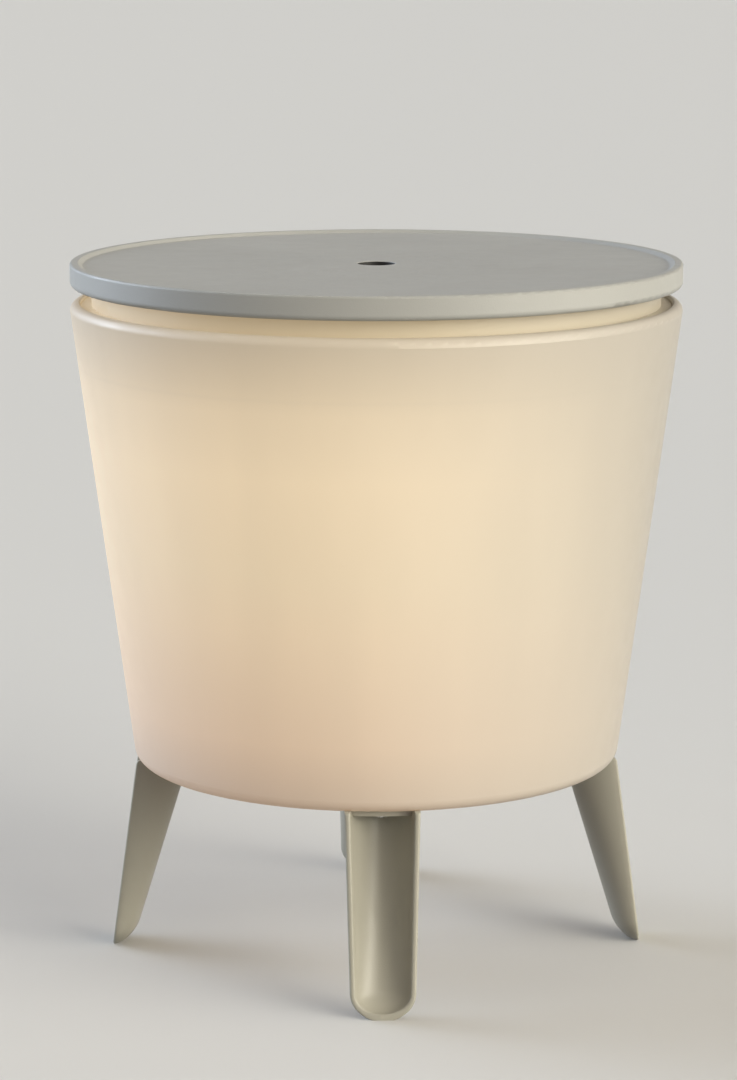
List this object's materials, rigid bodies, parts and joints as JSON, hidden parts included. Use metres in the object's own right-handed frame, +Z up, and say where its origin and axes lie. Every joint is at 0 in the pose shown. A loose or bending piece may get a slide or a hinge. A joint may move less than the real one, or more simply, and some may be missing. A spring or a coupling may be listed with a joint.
{
  "type": "ice bucket coffee table",
  "caption": "Round patio side table over a lit ice bucket: the top lifts on a telescopic column and twists to lock as a bar table.",
  "frame": {"origin": "on the floor under the middle of the table", "axes": "+Z up along the column, one leg at each of +X, +Y, -X and -Y, with -Y the front"},
  "size_m": [0.4952, 0.4952, 0.57],
  "materials": {
    "top_plastic": "fine satin grain, pale grey",
    "shell_plastic": "translucent, satin, lit from inside",
    "liner_plastic": "translucent, smooth, lit from below",
    "leg_plastic": "satin, warm grey",
    "column_plastic": "satin, pale grey",
    "dark_plastic": "matt black",
    "fitting_plastic": "satin, mid grey",
    "lamp_plastic": "satin, off white",
    "diffuser_plastic": "opal, lit",
    "board": "white solder mask",
    "led": "lit, warm white",
    "battery_wrap": "shrink wrap, blue",
    "wire": "wire insulation",
    "rubber": "soft black",
    "screw_steel": "stainless",
    "bracket_steel": "zinc plated sheet",
    "button_plastic": "soft touch"
  },
  "bodies": {
    "root": {"outer_shell": "shell_plastic", "ice_bucket": "liner_plastic", "leg_front": "leg_plastic", "leg_right": "leg_plastic", "leg_back": "leg_plastic", "leg_left": "leg_plastic", "leg_screws": "screw_steel", "outer_column": "column_plastic", "column_foot_screws": "screw_steel", "column_collar": "column_plastic", "collar_screws": "screw_steel", "column_wiper": "rubber", "drain_spout": "fitting_plastic", "drain_seal": "rubber", "drain_nut": "fitting_plastic", "light_housing": "lamp_plastic", "light_seal": "rubber", "light_screws": "screw_steel", "light_diffuser": "diffuser_plastic", "led_board": "board", "leds": "led", "board_screws": "screw_steel", "battery_pack": "battery_wrap", "battery_bracket": "bracket_steel", "bracket_screws": "screw_steel", "battery_leads": "wire", "charge_socket": "dark_plastic", "cap_pin": "screw_steel", "button_switch": "dark_plastic"},
    "lift_guide": {"guide_bush": "dark_plastic"},
    "table": {"table_top": "top_plastic", "table_underside": "top_plastic", "table_screws": "screw_steel", "grip_cup": "dark_plastic", "lift_column": "column_plastic", "column_head_screws": "screw_steel", "lock_ring": "dark_plastic", "lock_pin": "screw_steel"},
    "drain_plug": {"drain_plug": "fitting_plastic", "plug_ring": "rubber"},
    "power_button": {"power_button": "button_plastic"},
    "socket_cap": {"socket_cap": "rubber"}
  },
  "joints": [
    {"name": "table_lift", "type": "slide", "parent": "root", "child": "lift_guide", "axis": [0, 0, 1], "range_m": [0, 0.27]},
    {"name": "table_lock", "type": "hinge", "parent": "lift_guide", "child": "table", "pos_m": [0, 0, 0.4], "axis": [0, 0, -1], "range_deg": [0, 30]},
    {"name": "drain_pull", "type": "slide", "parent": "root", "child": "drain_plug", "axis": [0, 0, -1], "range_m": [0, 0.03]},
    {"name": "button_press", "type": "slide", "parent": "root", "child": "power_button", "axis": [0, 0, 1], "range_m": [0, 0.0015], "stiffness_N_per_m": 600, "springref_m": -0.001},
    {"name": "cap_hinge", "type": "hinge", "parent": "root", "child": "socket_cap", "pos_m": [0.045, 0, 0.1536], "axis": [0, -1, 0], "range_deg": [0, 100]}
  ]
}
